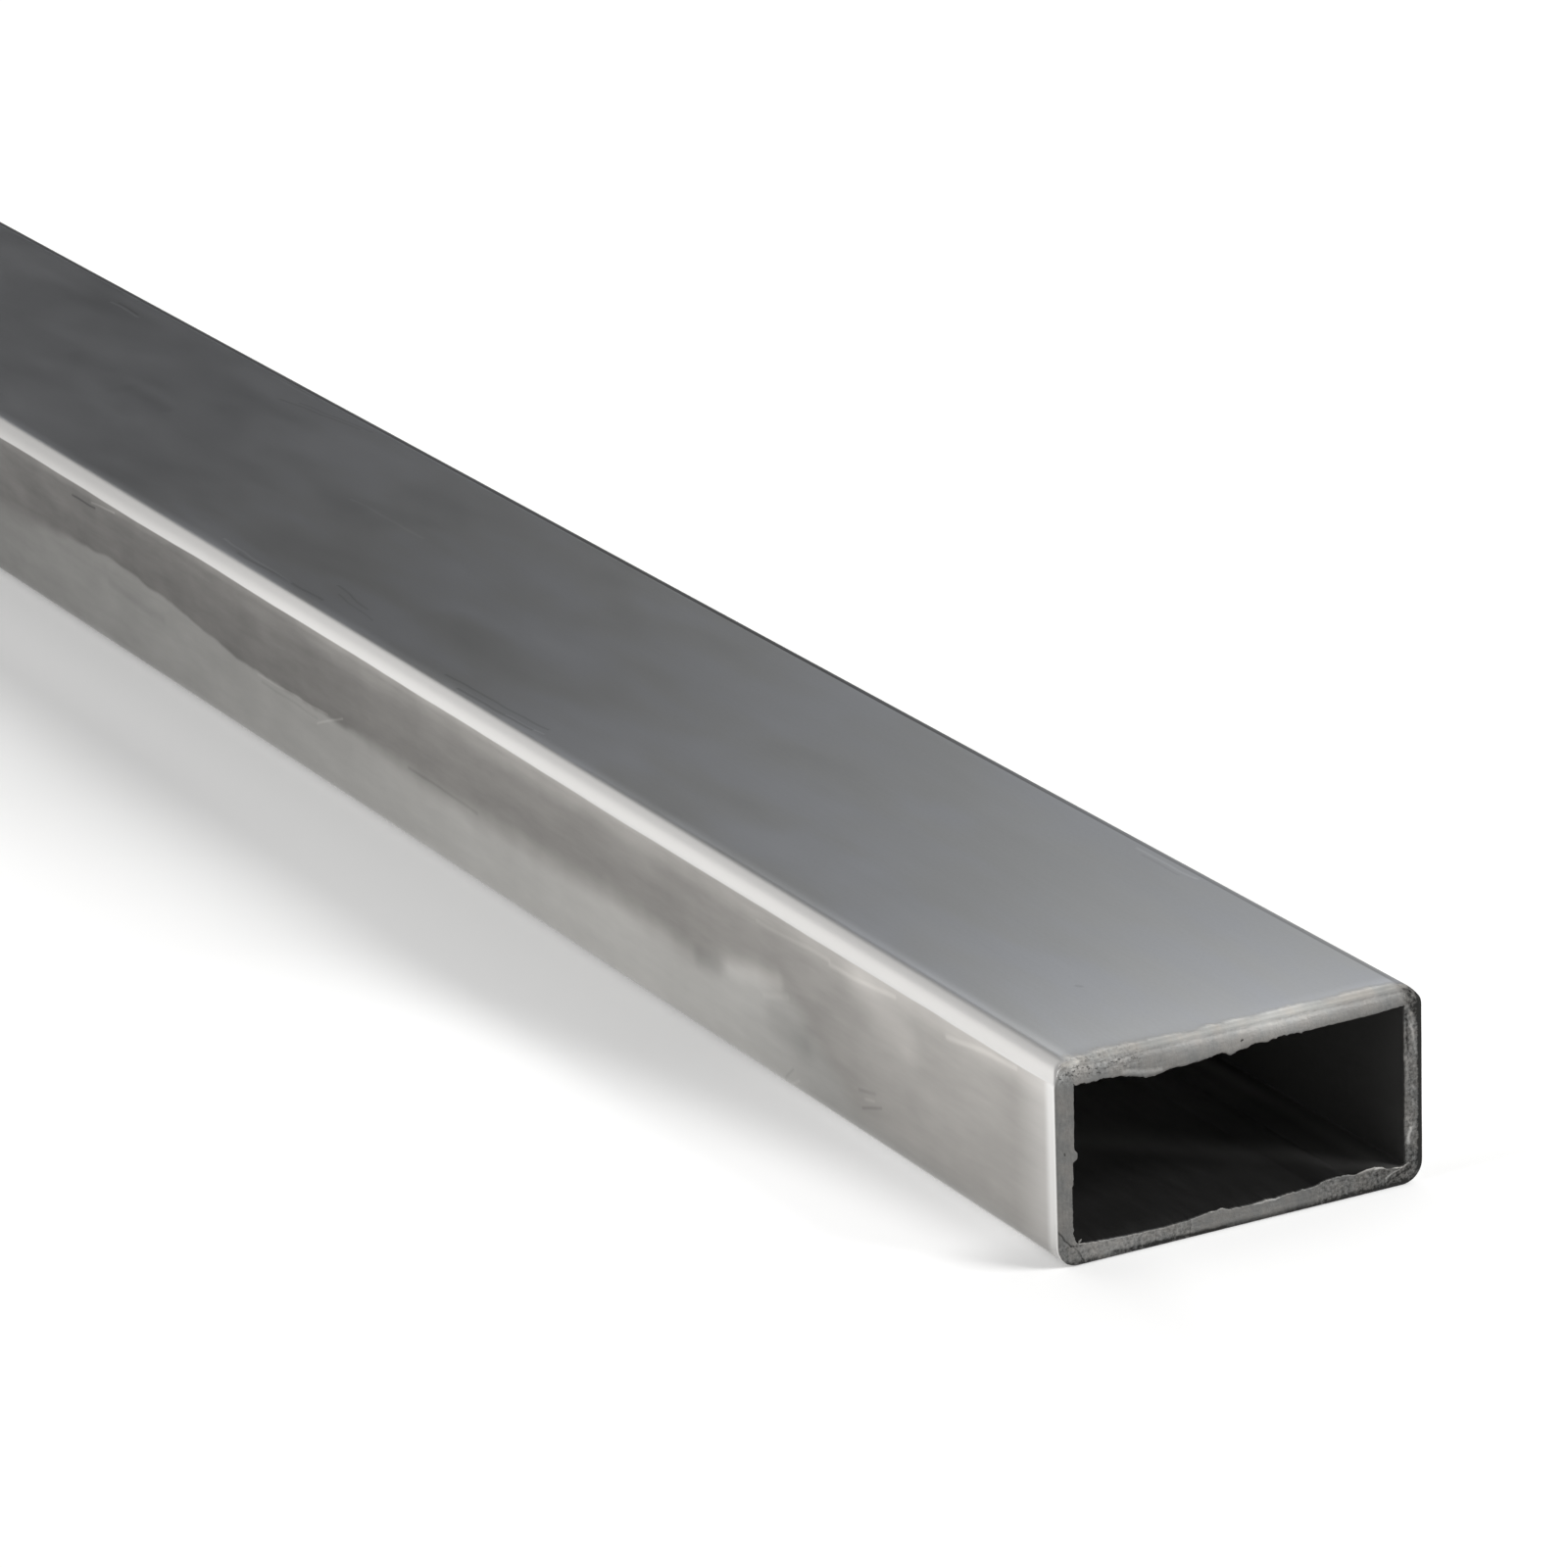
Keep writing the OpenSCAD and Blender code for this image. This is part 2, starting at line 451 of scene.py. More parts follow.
def wall_loop(graph, size):
    """The closed loop round the wall's length and thickness, and each point's place in it.

    X is the place through the wall, from the middle outwards, and Y is the place along the tube. The
    second half of the loop is the first one turned by half a turn, so both come from one rule."""
    along_steps, across_steps = size["Steps Along"], size["Steps Across"]
    half_loop = along_steps + across_steps
    circle = graph.node("GeometryNodeCurvePrimitiveCircle", {"mode": "RADIUS"},
                        {"Resolution": 2 * half_loop})
    index = graph.node("GeometryNodeInputIndex")
    # A little is added, so that a rounded-off quotient can't fall short of its whole number.
    rounding_guard = 0.0005
    turn = 1 - 2 * (index / half_loop + rounding_guard).floor()
    step = index % half_loop
    flank = step.least(along_steps)
    across = (step - along_steps).most(0) / across_steps
    half_steps = along_steps / 2
    steps_in = half_steps - abs(flank - half_steps)
    # Steps are even and fine at the cut and then grow by a constant share, so the middle needs few.
    fine_step, growth = 0.1 * MM, 1.55
    grown = (growth ** steps_in - 1) / (growth ** half_steps - 1)
    from_end = fine_step * steps_in + (size["Length"] / 2 - fine_step * half_steps) * grown
    along = (flank - half_steps).sign() * (size["Length"] / 2 - from_end)
    through = size["Wall"] / 2 - size["Wall"] * across
    corner = graph.vector(through * turn, along * turn, 0.0)
    loop = graph.node("GeometryNodeSetPosition", {}, {"Geometry": circle, "Position": corner})
    place = graph.node("GeometryNodeCaptureAttribute", {"domain": "POINT", "capture": "VECTOR"},
                       {"Geometry": loop, "Value": corner})
    return place, place["Value"]


def hollow_section_tree(entries):
    tree = bpy.data.node_groups.new("Hollow section", "GeometryNodeTree")
    graph, size = tree_inputs(tree, entries)
    line, line_place, around = section_line(graph, size)
    loop, loop_place = wall_loop(graph, size)
    swept = graph.node("GeometryNodeCurveToMesh", {}, {"Curve": line, "Profile Curve": loop})

    wall, length, height = size["Wall"], size["Length"], size["Height"]
    through, along, _ = loop_place.parts()
    across, up, _ = line_place.parts()
    centre_y = size["Width"] / 2 - size["Corner Radius"]
    centre_z = height / 2 - size["Corner Radius"]
    core = graph.vector(across.least(centre_y).most(0 - centre_y), up.least(centre_z).most(0 - centre_z),
                        0.0)
    outward = graph.node("ShaderNodeVectorMath", {"operation": "NORMALIZE"}, {0: line_place - core})
    out_y, out_z, _ = outward.parts()

    end = along.sign()
    depth = length / 2 - abs(along)
    skin_gap = wall / 2 - through
    inward_share = skin_gap / wall
    # A wall's share comes in round its rolled corners, where the outward direction turns towards it.
    upper = (out_z * end).ramp(0.3, 0.9)
    lower = (out_z * end).ramp(-0.3, -0.9)
    left = out_y.ramp(-0.3, -0.9)
    right = out_y.ramp(0.3, 0.9)

    # Coordinates in mm round the section. The whole numbers only set the patterns of the two ends and of
    # each seed apart, so that no two cuts are alike.
    seed = size["Seed"]
    at_end = graph.vector(across / MM, up / MM, end * 31 + seed * 7)

    # Worn outside edges: the square edge is drawn in to an arc, which is widest over the upper wall. The
    # two small lengths keep the divisions from running away where there is no edge.
    least_diagonal, least_sum = 0.01 * MM, 0.001 * MM
    unevenness = 0.75 + 0.5 * graph.noise(at_end, 0.35, 3.0)
    radius = size["Edge Radius"] * unevenness * (1 + (size["Roll Over"] - 1) * upper)
    to_end = (radius - depth).most(0)
    to_skin = (radius - skin_gap).most(0)
    diagonal = (to_end * to_end + to_skin * to_skin).sqrt().most(least_diagonal)
    pull = (1 - radius / diagonal) * (to_skin > 0)
    worn_share = to_end / (to_end + to_skin).most(least_sum)
    recede = to_end * pull
    sink = to_skin * pull

    # The cut leans back over the upper wall, and its face carries the saw's marks.
    lean_depth, marks_depth = 3 * MM, 0.5 * MM
    settle = (depth / lean_depth).ramp(1.0, 0.0, "LINEAR")
    lean = size["Lean"] * upper * (1 - inward_share) ** 2 * settle
    around_mm = around / MM
    marks_place = graph.vector(around_mm * 0.35, through / MM * 2.2, end * 17 + seed * 5)
    marks = graph.noise(marks_place, 1.6, 5.0, 0.6)
    grit = graph.noise(graph.vector(around_mm, through / MM, end * 13 + seed), 3.2, 4.0, 0.65)
    relief = size["Saw Marks"] * (marks * 0.6 + grit * 0.9) * (depth / marks_depth).ramp(1.0, 0.0, "LINEAR")

    # Burr: a thin lip that the saw pushed over the inside edge, ragged where it is tall.
    across_mm = across / MM
    up_mm = up * end / MM
    lip = (graph.profile(across_mm, UPPER_BURR) * upper + graph.profile(across_mm, LOWER_BURR) * lower
           + graph.profile(up_mm, LEFT_BURR) * left + graph.profile(up_mm, RIGHT_BURR) * right)
    teeth = graph.noise(at_end, 1.7, 6.0, 0.68)
    patches = graph.noise(at_end, 0.22, 1.0).ramp(0.42, 0.62)
    noise_middle = 0.47
    ragged = size["Raggedness"] * (teeth - noise_middle) * 4 * (0.35 + patches)
    burr = size["Burr"] * (lip * MM + ragged)
    lip_reach, break_reach = 0.35 * MM, 1.25 * MM
    reach = lip_reach + (break_reach - lip_reach) * (burr < 0)
    fade = graph.calculate("EXPONENT", 0 - (depth / reach) * (depth / reach))
    lip_root = 0.3
    overhang = burr * ((inward_share - lip_root) / (1 - lip_root)).most(0) ** 1.5 * fade

    # Weld bead: a flat arc through its two feet and its crown, along the whole lower wall
    seam = size["Width"] / 2 - size["Seam From Side"]
    half_bead = size["Bead Width"] / 2
    bead_height = size["Bead Height"]
    bead_radius = (half_bead * half_bead + bead_height * bead_height) / (2 * bead_height)
    from_seam = across - seam
    arc = (bead_radius * bead_radius - from_seam * from_seam).most(0).sqrt() - (bead_radius - bead_height)
    ripple = 0.85 + 0.3 * graph.noise(graph.vector(along / MM, 0.0, 0.0), 0.4, 2.0)
    bead = arc.most(0) * (out_z < -0.9) * inward_share * ripple

    new_through = through - sink - overhang - bead
    new_along = along - end * (recede + lean + relief)
    across_part, up_part, _ = (line_place + outward * new_through).parts()
    placed = graph.node("GeometryNodeSetPosition", {},
                        {"Geometry": swept,
                         "Position": graph.vector(new_along, across_part, up_part + height / 2)})

    on_inner_face = inward_share > 0.999
    bore = on_inner_face * (depth - burr.most(0) / 4).ramp(0.05 * MM, 0.3 * MM)
    # The sawn metal starts with the worn edge's arc, but half way round it on the narrow wall with the
    # painted highlight strip.
    highlight_strip_side = (out_y * end).ramp(-0.3, -0.9)
    sawn_from = 0.02 + 0.44 * highlight_strip_side
    sawn_to = sawn_from + 0.06 + upper * (0.1 + 0.3 * teeth)
    cut = worn_share.ramp(sawn_from, sawn_to) * (1 - bore) * (depth < lean_depth)
    dressed = placed
    for name, mask in (("cut", cut), ("bore", bore)):
        dressed = graph.node("GeometryNodeStoreNamedAttribute", {"data_type": "FLOAT", "domain": "POINT"},
                             {"Geometry": dressed, "Name": name, "Value": mask})
    flat = graph.vector(around_mm, through / MM, end * 20)
    dressed = graph.node("GeometryNodeStoreNamedAttribute",
                         {"data_type": "FLOAT_VECTOR", "domain": "POINT"},
                         {"Geometry": dressed, "Name": "wall_place", "Value": flat})
    outside_out = graph.node("GeometryNodeFlipFaces", {}, {"Mesh": dressed})
    smooth = graph.node("GeometryNodeSetShadeSmooth", {}, {"Geometry": outside_out})
    realized = graph.node("GeometryNodeRealizeInstances", {}, {"Geometry": smooth})
    finished = graph.node("GeometryNodeSetMaterial", {}, {"Geometry": realized, "Material": size["Steel"]})
    graph.node("NodeGroupOutput", {}, {"Geometry": finished})
    return tree


def stretched(graph, place, x, y, z):
    """The place scaled along each axis, which draws a pattern out where the scale is small."""
    return graph.node("ShaderNodeMapping", {}, {"Vector": place, "Scale": (x, y, z)})


def from_cuts(sizes, mm):
    """In mm: the distance from the nearer cut, and the height from the wall where the saw came out.

    The far cut is the near one turned over, so heights at the far half count from the upper wall."""
    along, _, up = mm.parts()
    height = sizes.height / MM
    raised = (up - height / 2) * along.sign() + height / 2
    return sizes.length / 2 / MM - abs(along), raised


def oiled_walls(graph, place, from_cut, grain):
    """How light the narrow walls are, from their brownish film of oil and from painted light and shade, and
    where the film is wiped thin.

    The film is thick in an upper band with a wavy lower limit, and is wiped thin below that."""
    wipe_limit = graph.profile(from_cut, WIPE_LIMIT) + 1.2 * (graph.noise(place, 0.16, 2.0) - 0.5)
    above = place.parts()[1] - wipe_limit
    # The limit is soft, but sharp on the stretch where a hand has wiped along it.
    crisp = from_cut.ramp(130, 165) * from_cut.ramp(255, 225)
    thin = above.ramp(1.5 - 1.3 * crisp, 2.0 * crisp - 2.4) * (0.85 + 0.15 * above.ramp(-1.0, -5.0))
    # Both tones are partly the film's own and partly painted light and shade along the tube.
    thick_tone_and_shading = graph.profile(from_cut, FILM_TONE_AND_SHADING)
    thin_tone_and_shading = graph.profile(from_cut, WIPED_TONE_AND_SHADING)
    wipe_slant = math.radians(-14)
    slanted = graph.node("ShaderNodeMapping", {}, {"Vector": place, "Rotation": (0.0, 0.0, wipe_slant),
                                                   "Scale": (0.12, 1.0, 1.0)})
    streaks = graph.noise(slanted, 0.55, 4.0, 0.6)
    clouds = graph.noise(stretched(graph, place, 0.5, 1.0, 1.0), 0.2, 3.0, 0.55)
    tone = (thick_tone_and_shading + (thin_tone_and_shading - thick_tone_and_shading) * thin + 0.22 * (streaks - 0.5) + 0.06 * (grain - 0.5)
            + 0.26 * (clouds - 0.5))
    return tone + graph.strokes(place, SIDE_MARKS), thin


def mill_surface(graph, settings, mm):
    """Colour, roughness and height of the rolled outside."""
    sizes, finish = settings.sizes, settings.finish
    half_length, half_width, half_height = (
        value / 2 / MM for value in (sizes.length, sizes.width, sizes.height))
    along, across, up = mm.parts()
    side = across.sign()
    right_side = side > 0
    from_middle = up - half_height
    upper_side = from_middle > 0
    from_near_cut = half_length - along
    from_end = half_length - abs(along)
    # Round each rolled corner this goes from the wide wall, below 0, to the narrow wall, above 0.
    round_corner = abs(across) - abs(from_middle) - (half_width - half_height)
    narrow = round_corner > 0
    grain = graph.noise(stretched(graph, mm, 0.05, 1.0, 1.0), 2.4, 4.0, 0.6)
    grit = graph.noise(mm, 2.6, 2.0, 0.6)
    mottle = graph.noise(stretched(graph, mm, 0.3, 1.0, 1.0), 0.13, 3.0, 0.5, 0.3)
    wobble = graph.noise(stretched(graph, mm, 0.12, 0.0, 0.0), 1.0, 1.0) - 0.5

    # The wide walls carry bluish soft mottles and a few scratches. From about 150 mm to 260 mm behind the
    # near cut they turn wholly bluish, a painted reflection of cool surroundings. Near the cut they grow
    # darker across the width, and a painted highlight lightens the strip along the left rolled corner.
    wide_place = graph.vector(from_near_cut, across + wobble * 1.2, 0.0)
    wide_tone = 1.0 + 0.24 * (mottle - 0.5) + 0.08 * (grain - 0.5) + 0.1 * (grit - 0.5)
    wide_tone = wide_tone + graph.strokes(wide_place, TOP_MARKS) * upper_side
    darker_per_mm = 0.01 * (from_near_cut.ramp(160, 80) - from_near_cut.ramp(4, 1.5))
    left_highlight_strip = round_corner.ramp(-3.6, -1.9) * (side < 0)
    wide_tone = (wide_tone * graph.profile(from_near_cut, WIDE_REFLECTION_AND_TONE) * (1 - darker_per_mm * across)
                 * (1 + 0.4 * left_highlight_strip))
    # Painted reflection: far from the near cut the whole wall takes the cool colour.
    cool_mottle_and_reflection = mottle.ramp(0.35, 0.65).most(from_near_cut.ramp(150, 260))
    wide_colour = graph.blend(cool_mottle_and_reflection, (*finish.mill_colour, 1.0), (*finish.cool_colour, 1.0))

    # The narrow walls are turned end for end, so that the two sides differ. Their upper strip is lighter, a
    # painted sheen.
    from_cut = half_length + along * side
    narrow_place = graph.vector(from_cut, up + wobble * 0.8, side * 40 + 40)
    narrow_tone, thin = oiled_walls(graph, narrow_place, from_cut, grain)
    upper_sheen_strip = round_corner.ramp(4.6, 2.4) * from_near_cut.ramp(250, 140) * upper_side
    narrow_tone = narrow_tone * (1 + 0.3 * upper_sheen_strip)
    narrow_colour = graph.blend(thin, (*finish.film_colour, 1.0), (*finish.wiped_colour, 1.0))
    colour = graph.blend(narrow, wide_colour * wide_tone, narrow_colour * narrow_tone)

    # The corners carry a band with wavy limits, partly burnished by the rolls and partly a painted
    # highlight, which is dimmed from about 150 mm to 430 mm behind the near cut. A strip of painted
    # highlight ends one narrow wall at each cut.
    run = graph.vector(along * 0.03, side * 7, from_middle.sign() * 13)
    wave = graph.noise(run, 1.0, 3.0) - 0.5
    wide_wave = graph.noise(run, 0.8, 3.0) - 0.5
    narrow_limit = 0.75 + upper_side * (1.0 - 0.5 * from_near_cut.ramp(50, 210)) + 0.7 * wave
    wide_limit = -1.88 + 0.78 * right_side + 0.5 * wide_wave
    softness = 0.15 + 0.25 * from_near_cut.ramp(70, 30)
    band = round_corner.ramp(wide_limit - softness, wide_limit + softness) * round_corner.ramp(
        narrow_limit + 0.12, narrow_limit - 0.12)
    highlight_strip_side = narrow * (across * along < 0)
    strip = (0.75 * from_end.ramp(2.2, 0.8) + 0.3 * from_end.ramp(8.0, 0.5)) * highlight_strip_side
    polish_and_highlight = band.most(strip)
    far_highlight_dimming = 1 - 0.22 * from_near_cut.ramp(150, 250) * from_near_cut.ramp(430, 320)
    colour = graph.blend(polish_and_highlight, colour, graph.scaled(tuple(finish.burnish_and_highlight_colour), far_highlight_dimming))
    # A dark line of painted shade lies along the rolled corner on the far side.
    far_edge_shade = (round_corner.ramp(-2.25, -2.0) * round_corner.ramp(-0.3, -0.7) * right_side
                * (0.35 + 0.65 * from_near_cut.ramp(20, 130)))
    colour = colour * (1 - 0.8 * far_edge_shade)
    rough = finish.mill_roughness + 0.08 * (mottle - 0.5) + 0.03 * (grain - 0.5) + 0.35 * far_edge_shade
    waves = graph.noise(stretched(graph, mm, 0.25, 1.0, 1.0), 0.12, 2.0)
    height = (0.004 * (grain - 0.5) + 0.003 * (grit - 0.5)) * (1 - 0.8 * band) + 0.03 * (waves - 0.5)
    return colour, rough, height


def sawn_share(graph, sizes, mm, cut):
    """Where the metal is sawn: the cuts, and an uneven lip on the wide wall that the saw entered."""
    along, across, _ = mm.parts()
    from_end, raised = from_cuts(sizes, mm)
    height, half_width = sizes.height / MM, sizes.width / 2 / MM
    place = graph.vector(along * 0.6, across, 0.0)
    reach = 3.2 * (graph.noise(place, 0.3, 4.0, 0.65) - 0.12) + 0.3 * across.ramp(-6.0, -12.0)
    lip = from_end.ramp(reach + 1.2, reach - 0.2) * raised.ramp(height - 1.5, height - 0.8)
    return cut.most(lip * abs(across).ramp(half_width - 1.6, half_width - 2.6))


def sawn_surface(graph, settings, mm, wall_place):
    """Colour, roughness and height of the cut faces and of the burr."""
    sizes, finish = settings.sizes, settings.finish
    height, half_width = sizes.height / MM, sizes.width / 2 / MM
    across = mm.parts()[1]
    from_end, raised = from_cuts(sizes, mm)
    lower_tone = graph.profile(across, LOWER_TONE)
    upper_tone_and_light = graph.profile(across, UPPER_TONE_AND_LIGHT)
    left_tone, right_tone = SIDE_TONES
    side_tone = left_tone - (left_tone - right_tone) * (across > 0)
    # The upper wall's share is partly painted light.
    tone = (lower_tone + (side_tone - lower_tone) * raised.ramp(0.08 * height, 0.35 * height)
            + (upper_tone_and_light - side_tone) * raised.ramp(0.85 * height, 0.985 * height))
    smear = graph.noise(stretched(graph, wall_place, 0.3, 2.0, 1.0), 1.8, 5.0, 0.62)
    grit = graph.noise(mm, 2.6, 4.0, 0.65)
    patches = graph.noise(wall_place, 0.45, 3.0, 0.55)
    flecks = graph.noise(stretched(graph, mm, 0.4, 0.6, 1.0), 4.5, 3.0, 0.6).ramp(0.56, 0.68)
    # Crumbs of metal roughen the upper left corner. The lower wall's ends and the right wall are sandy.
    rough_patch = across.ramp(-9.0, -13.0) * raised.ramp(0.9 * height, 0.94 * height)
    low_ends = raised.ramp(2.8, 2.1) * abs(across - 1.5).ramp(5.0, 8.0)
    right_wall = across.ramp(half_width - 2.5, half_width - 1.8)
    sandy = 0.5 + 1.3 * low_ends.most(rough_patch).most(right_wall)
    chalk = (graph.noise(stretched(graph, mm, 1.0, 1.0, 0.6), 1.5, 5.0, 0.7).ramp(0.5, 0.68)
             * across.ramp(half_width - 2.1, half_width - 1.8)
             * across.ramp(half_width - 0.5, half_width - 1.2))
    # The marks are bent a little, so that none runs dead straight.
    place = graph.vector(across, raised, 0.0)
    bent = place + (graph.noise(place, 0.9, 2.0)["Color"] - 0.5) * 0.5
    outer_rim = raised.ramp(0.8, 0.2).most(1.5 * across.ramp(half_width - 0.75, half_width - 0.3))
    # The brow is the lip over the upper wall. It carries a painted highlight, which is stronger away from
    # the cut.
    brow = raised.ramp(height - 0.55, height - 0.3)
    brow_highlight = brow * (1.0 + (0.65 + 0.35 * across.ramp(-10.0, 2.0)) * from_end.ramp(0.9, 1.5))
    tone = (tone + sandy * (grit - 0.5) + 0.4 * (patches - 0.5) + 0.35 * (smear - 0.5)
            + graph.strokes(bent, CUT_MARKS) + 0.35 * chalk - 0.5 * flecks * rough_patch - 0.5 * outer_rim
            + brow_highlight)
    colour = graph.blend(patches.ramp(0.35, 0.65), (*finish.cut_colour, 1.0),
                         (*finish.cut_warm_colour, 1.0))
    darkest = 0.12
    rough = finish.cut_roughness + 0.2 * (grit - 0.5) + 0.25 * brow
    relief = 0.06 * (grit - 0.5) + 0.03 * (smear - 0.5) - 0.05 * flecks * rough_patch
    return colour * tone.most(darkest), rough, relief


def bore_surface(graph, settings, mm):
    """Colour, roughness and height of the scaly, oily inside."""
    sizes, finish = settings.sizes, settings.finish
    across = mm.parts()[1]
    from_end = from_cuts(sizes, mm)[0]
    scale = graph.noise(stretched(graph, mm, 0.2, 1.0, 1.0), 0.9, 4.0, 0.6)
    smoke = graph.noise(stretched(graph, mm, 0.1, 1.0, 1.0), 0.25, 2.0, 0.5)
    # Painted light: the right-hand wall is lighter, and the scale is lightened further in and where the
    # side wall shades the floor, so that it is darkest near the cut.
    inner_side = (sizes.width / 2 - sizes.wall) / MM
    side_wall = across.ramp(inner_side - 3.5, inner_side - 0.3)
    shade_lift = 2.2 * (across + from_end).ramp(13.0, 19.0) + 8.0 * from_end.ramp(14.0, 34.0)
    side_shade_lift = 0.8 * from_end.ramp(4.0, 26.0)
    tone = (0.4 + 0.35 * scale + 0.3 * smoke + 1.8 * side_wall) * (
        1 + shade_lift + (side_shade_lift - shade_lift) * side_wall)
    rough = finish.bore_roughness + 0.2 * (scale - 0.5)
    return graph.scaled(tuple(finish.bore_colour), tone), rough, 0.02 * (scale - 0.5)


def blank_material(name):
    """A new material, and the empty graph that it is built on."""
    material = bpy.data.materials.new(name)
    material.use_nodes = True
    material.node_tree.nodes.clear()
    return material, Graph(material.node_tree)


def steel_material(settings):
    material, graph = blank_material("bare steel")
    place = graph.node("ShaderNodeTexCoord", output="Object")
    mm = stretched(graph, place, 1 / MM, 1 / MM, 1 / MM)

    def stored(name, output):
        return graph.node("ShaderNodeAttribute", {"attribute_name": name}, {}, output)

    cut, bore = (stored(name, "Fac") for name in ("cut", "bore"))
    cut = sawn_share(graph, settings.sizes, mm, cut)
    mill = mill_surface(graph, settings, mm)
    sawn = sawn_surface(graph, settings, mm, stored("wall_place", "Vector"))
    inside = bore_surface(graph, settings, mm)
    colour = graph.blend(bore, graph.blend(cut, mill[0], sawn[0]), inside[0])
    rough, height = (outer + (face - outer) * cut + (inner - outer) * bore
                     for outer, face, inner in zip(mill[1:], sawn[1:], inside[1:]))
    bump = graph.node("ShaderNodeBump", {}, {"Strength": 1.0, "Distance": MM, "Height": height})
    # The scale in the bore hides most of the metal.
    scale_cover = 0.7
    surface = graph.node("ShaderNodeBsdfPrincipled", {},
                         {"Base Color": colour, "Metallic": 1 - scale_cover * bore, "Roughness": rough,
                          "Normal": bump})
    graph.node("ShaderNodeOutputMaterial", {}, {"Surface": surface})
    return material


class MESH_OT_add_hollow_section(bpy.types.Operator):
    """Sweep the steel tube, cut and weld it, and let it stand for the solid of the frame"""

    bl_idname = "mesh.add_hollow_section"
    bl_label = "Add hollow section"

    def execute(self, context):
        settings = context.scene.steel_tube
        # Every size and every setting of the cuts is an input of the tree, by its own name.
        entries = {name.replace("_", " ").title(): getattr(group, name)
                   for group in (settings.sizes, settings.wear) for name in group.__annotations__}
        entries["Steel"] = steel_material(settings)
        tree = hollow_section_tree(entries)
        piece = bpy.data.objects.new(PIECE, bpy.data.meshes.new(PIECE))
        context.scene.collection.objects.link(piece)
        modifier = piece.modifiers.new("Hollow section", "NODES")
        modifier.node_group = tree
        identifiers = {item.name: item.identifier for item in tree.interface.items_tree}
        for name, value in entries.items():
            modifier[identifiers[name]] = value
        depsgraph = context.evaluated_depsgraph_get()
        mesh = bpy.data.meshes.new_from_object(
            piece.evaluated_get(depsgraph), preserve_all_data_layers=True, depsgraph=depsgraph)
        if not mesh.polygons:
            raise RuntimeError("the hollow section came out empty")
        piece.modifiers.remove(modifier)
        piece.data = mesh
        mesh.name = PIECE
        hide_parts(NODE)
        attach(piece, BODY)
        return {"FINISHED"}


# The camera stands beside the near cut and looks back along the tube. Its place is from the point on the
# floor under the middle of that cut, in metres.
CAMERA_FROM_CUT = Vector((0.5129, -0.3140, 0.2528))
CAMERA_HEADING = math.radians(62.47)
CAMERA_TILT = math.radians(-19.085)
CAMERA_ROLL = math.radians(-2.10)
CAMERA_LENS = 159.7
CAMERA_SENSOR = 36.0
CAMERA_CLIP = (0.01, 100.0)

# Headings turn from +X towards +Y. Places are from the same point as the camera's, in metres.
KEY_HEADING = math.radians(50)
KEY_HEIGHT = math.radians(32)
KEY_WIDTH = math.radians(27)
KEY_REACH = 3.0
FLOOR_SIZE = (80, 80)
FLOOR_GAP = 0.05 * MM
SOFTBOX_REACH = 2.2
SOFTBOX_SIZE = (1.2, 1.7)
SOFTBOX_COLOUR = (1.0, 0.99, 0.975)
EDGE_BOX_HEADING = math.radians(215)
BACK_BOX_HEADING = math.radians(183)
# The screen glows though it is no lamp: a painted reflection, seen only in the metal.
SCREEN_PLACE = (-1.3, 0.5, 0.42)
SCREEN_SIZE = (3.2, 0.84)
SCREEN_COLOUR = (0.955, 0.975, 1.0)
SCREEN_LEAST_GLOW = 0.04
SCREEN_GLOW = 1.0
SCREEN_GLOW_FROM = -0.55
SCREEN_GLOW_OVER = 0.15
SCREEN_GLOW_TO = -0.82
SCREEN_FALLOFF = 0.17

# The floor's shadow, reshaped with painted light and painted shade. Each lift of painted light, and the
# broad drop of painted shade, is a share of the studio's shadow fade. It comes in between the places named
# with it, in metres behind the near cut or beside the tube. The spread is how far the shadow's outer edge
# leaves the tube for each metre behind the cut.
SHADOW_SPREAD = 0.175
SHADOW_SOFTNESS = 0.006
FADE_GONE, FADE_FULL = 0.13, 0.07
CUT_BLEND = 0.012
NEAR_LIFT, NEAR_GONE, NEAR_FULL = 0.45, 0.075, 0.03
FRONT_LIFT, FRONT_BLEND, FRONT_FROM, FRONT_TO = 0.35, 0.001, 0.002, 0.012
BROAD_DROP, BROAD_FROM, BROAD_FULL = 0.4, 0.12, 0.19
BROAD_INSIDE, BROAD_OUTSIDE = (0.006, 0.02), (0.05, 0.03)
FAR_END_BLEND = 0.03


def direction_to(heading, height):
    return Vector((math.cos(heading) * math.cos(height), math.sin(heading) * math.cos(height),
                   math.sin(height)))


def add_camera(scene):
    camera = bpy.data.cameras.new("camera")
    camera.lens = CAMERA_LENS
    camera.sensor_width = CAMERA_SENSOR
    camera.clip_start, camera.clip_end = CAMERA_CLIP
    stand = bpy.data.objects.new("camera", camera)
    level = math.radians(90)
    turn = (Matrix.Rotation(CAMERA_HEADING, 4, "Z") @ Matrix.Rotation(CAMERA_TILT + level, 4, "X")
            @ Matrix.Rotation(CAMERA_ROLL, 4, "Z"))
    stand.matrix_world = Matrix.Translation(Vector((CAD_HIGH.x, 0, 0)) + CAMERA_FROM_CUT) @ turn
    scene.collection.objects.link(stand)
    scene.camera = stand


def matt_surface(graph, colour, glow):
    """Ends a material in a matt surface of that colour, which also gives off the colour glow."""
    surface = graph.node("ShaderNodeBsdfPrincipled", {},
                         {"Base Color": (*colour, 1.0), "Roughness": 1.0, "Specular IOR Level": 0.0,
                          "Emission Color": glow, "Emission Strength": 1.0})
    graph.node("ShaderNodeOutputMaterial", {}, {"Surface": surface})


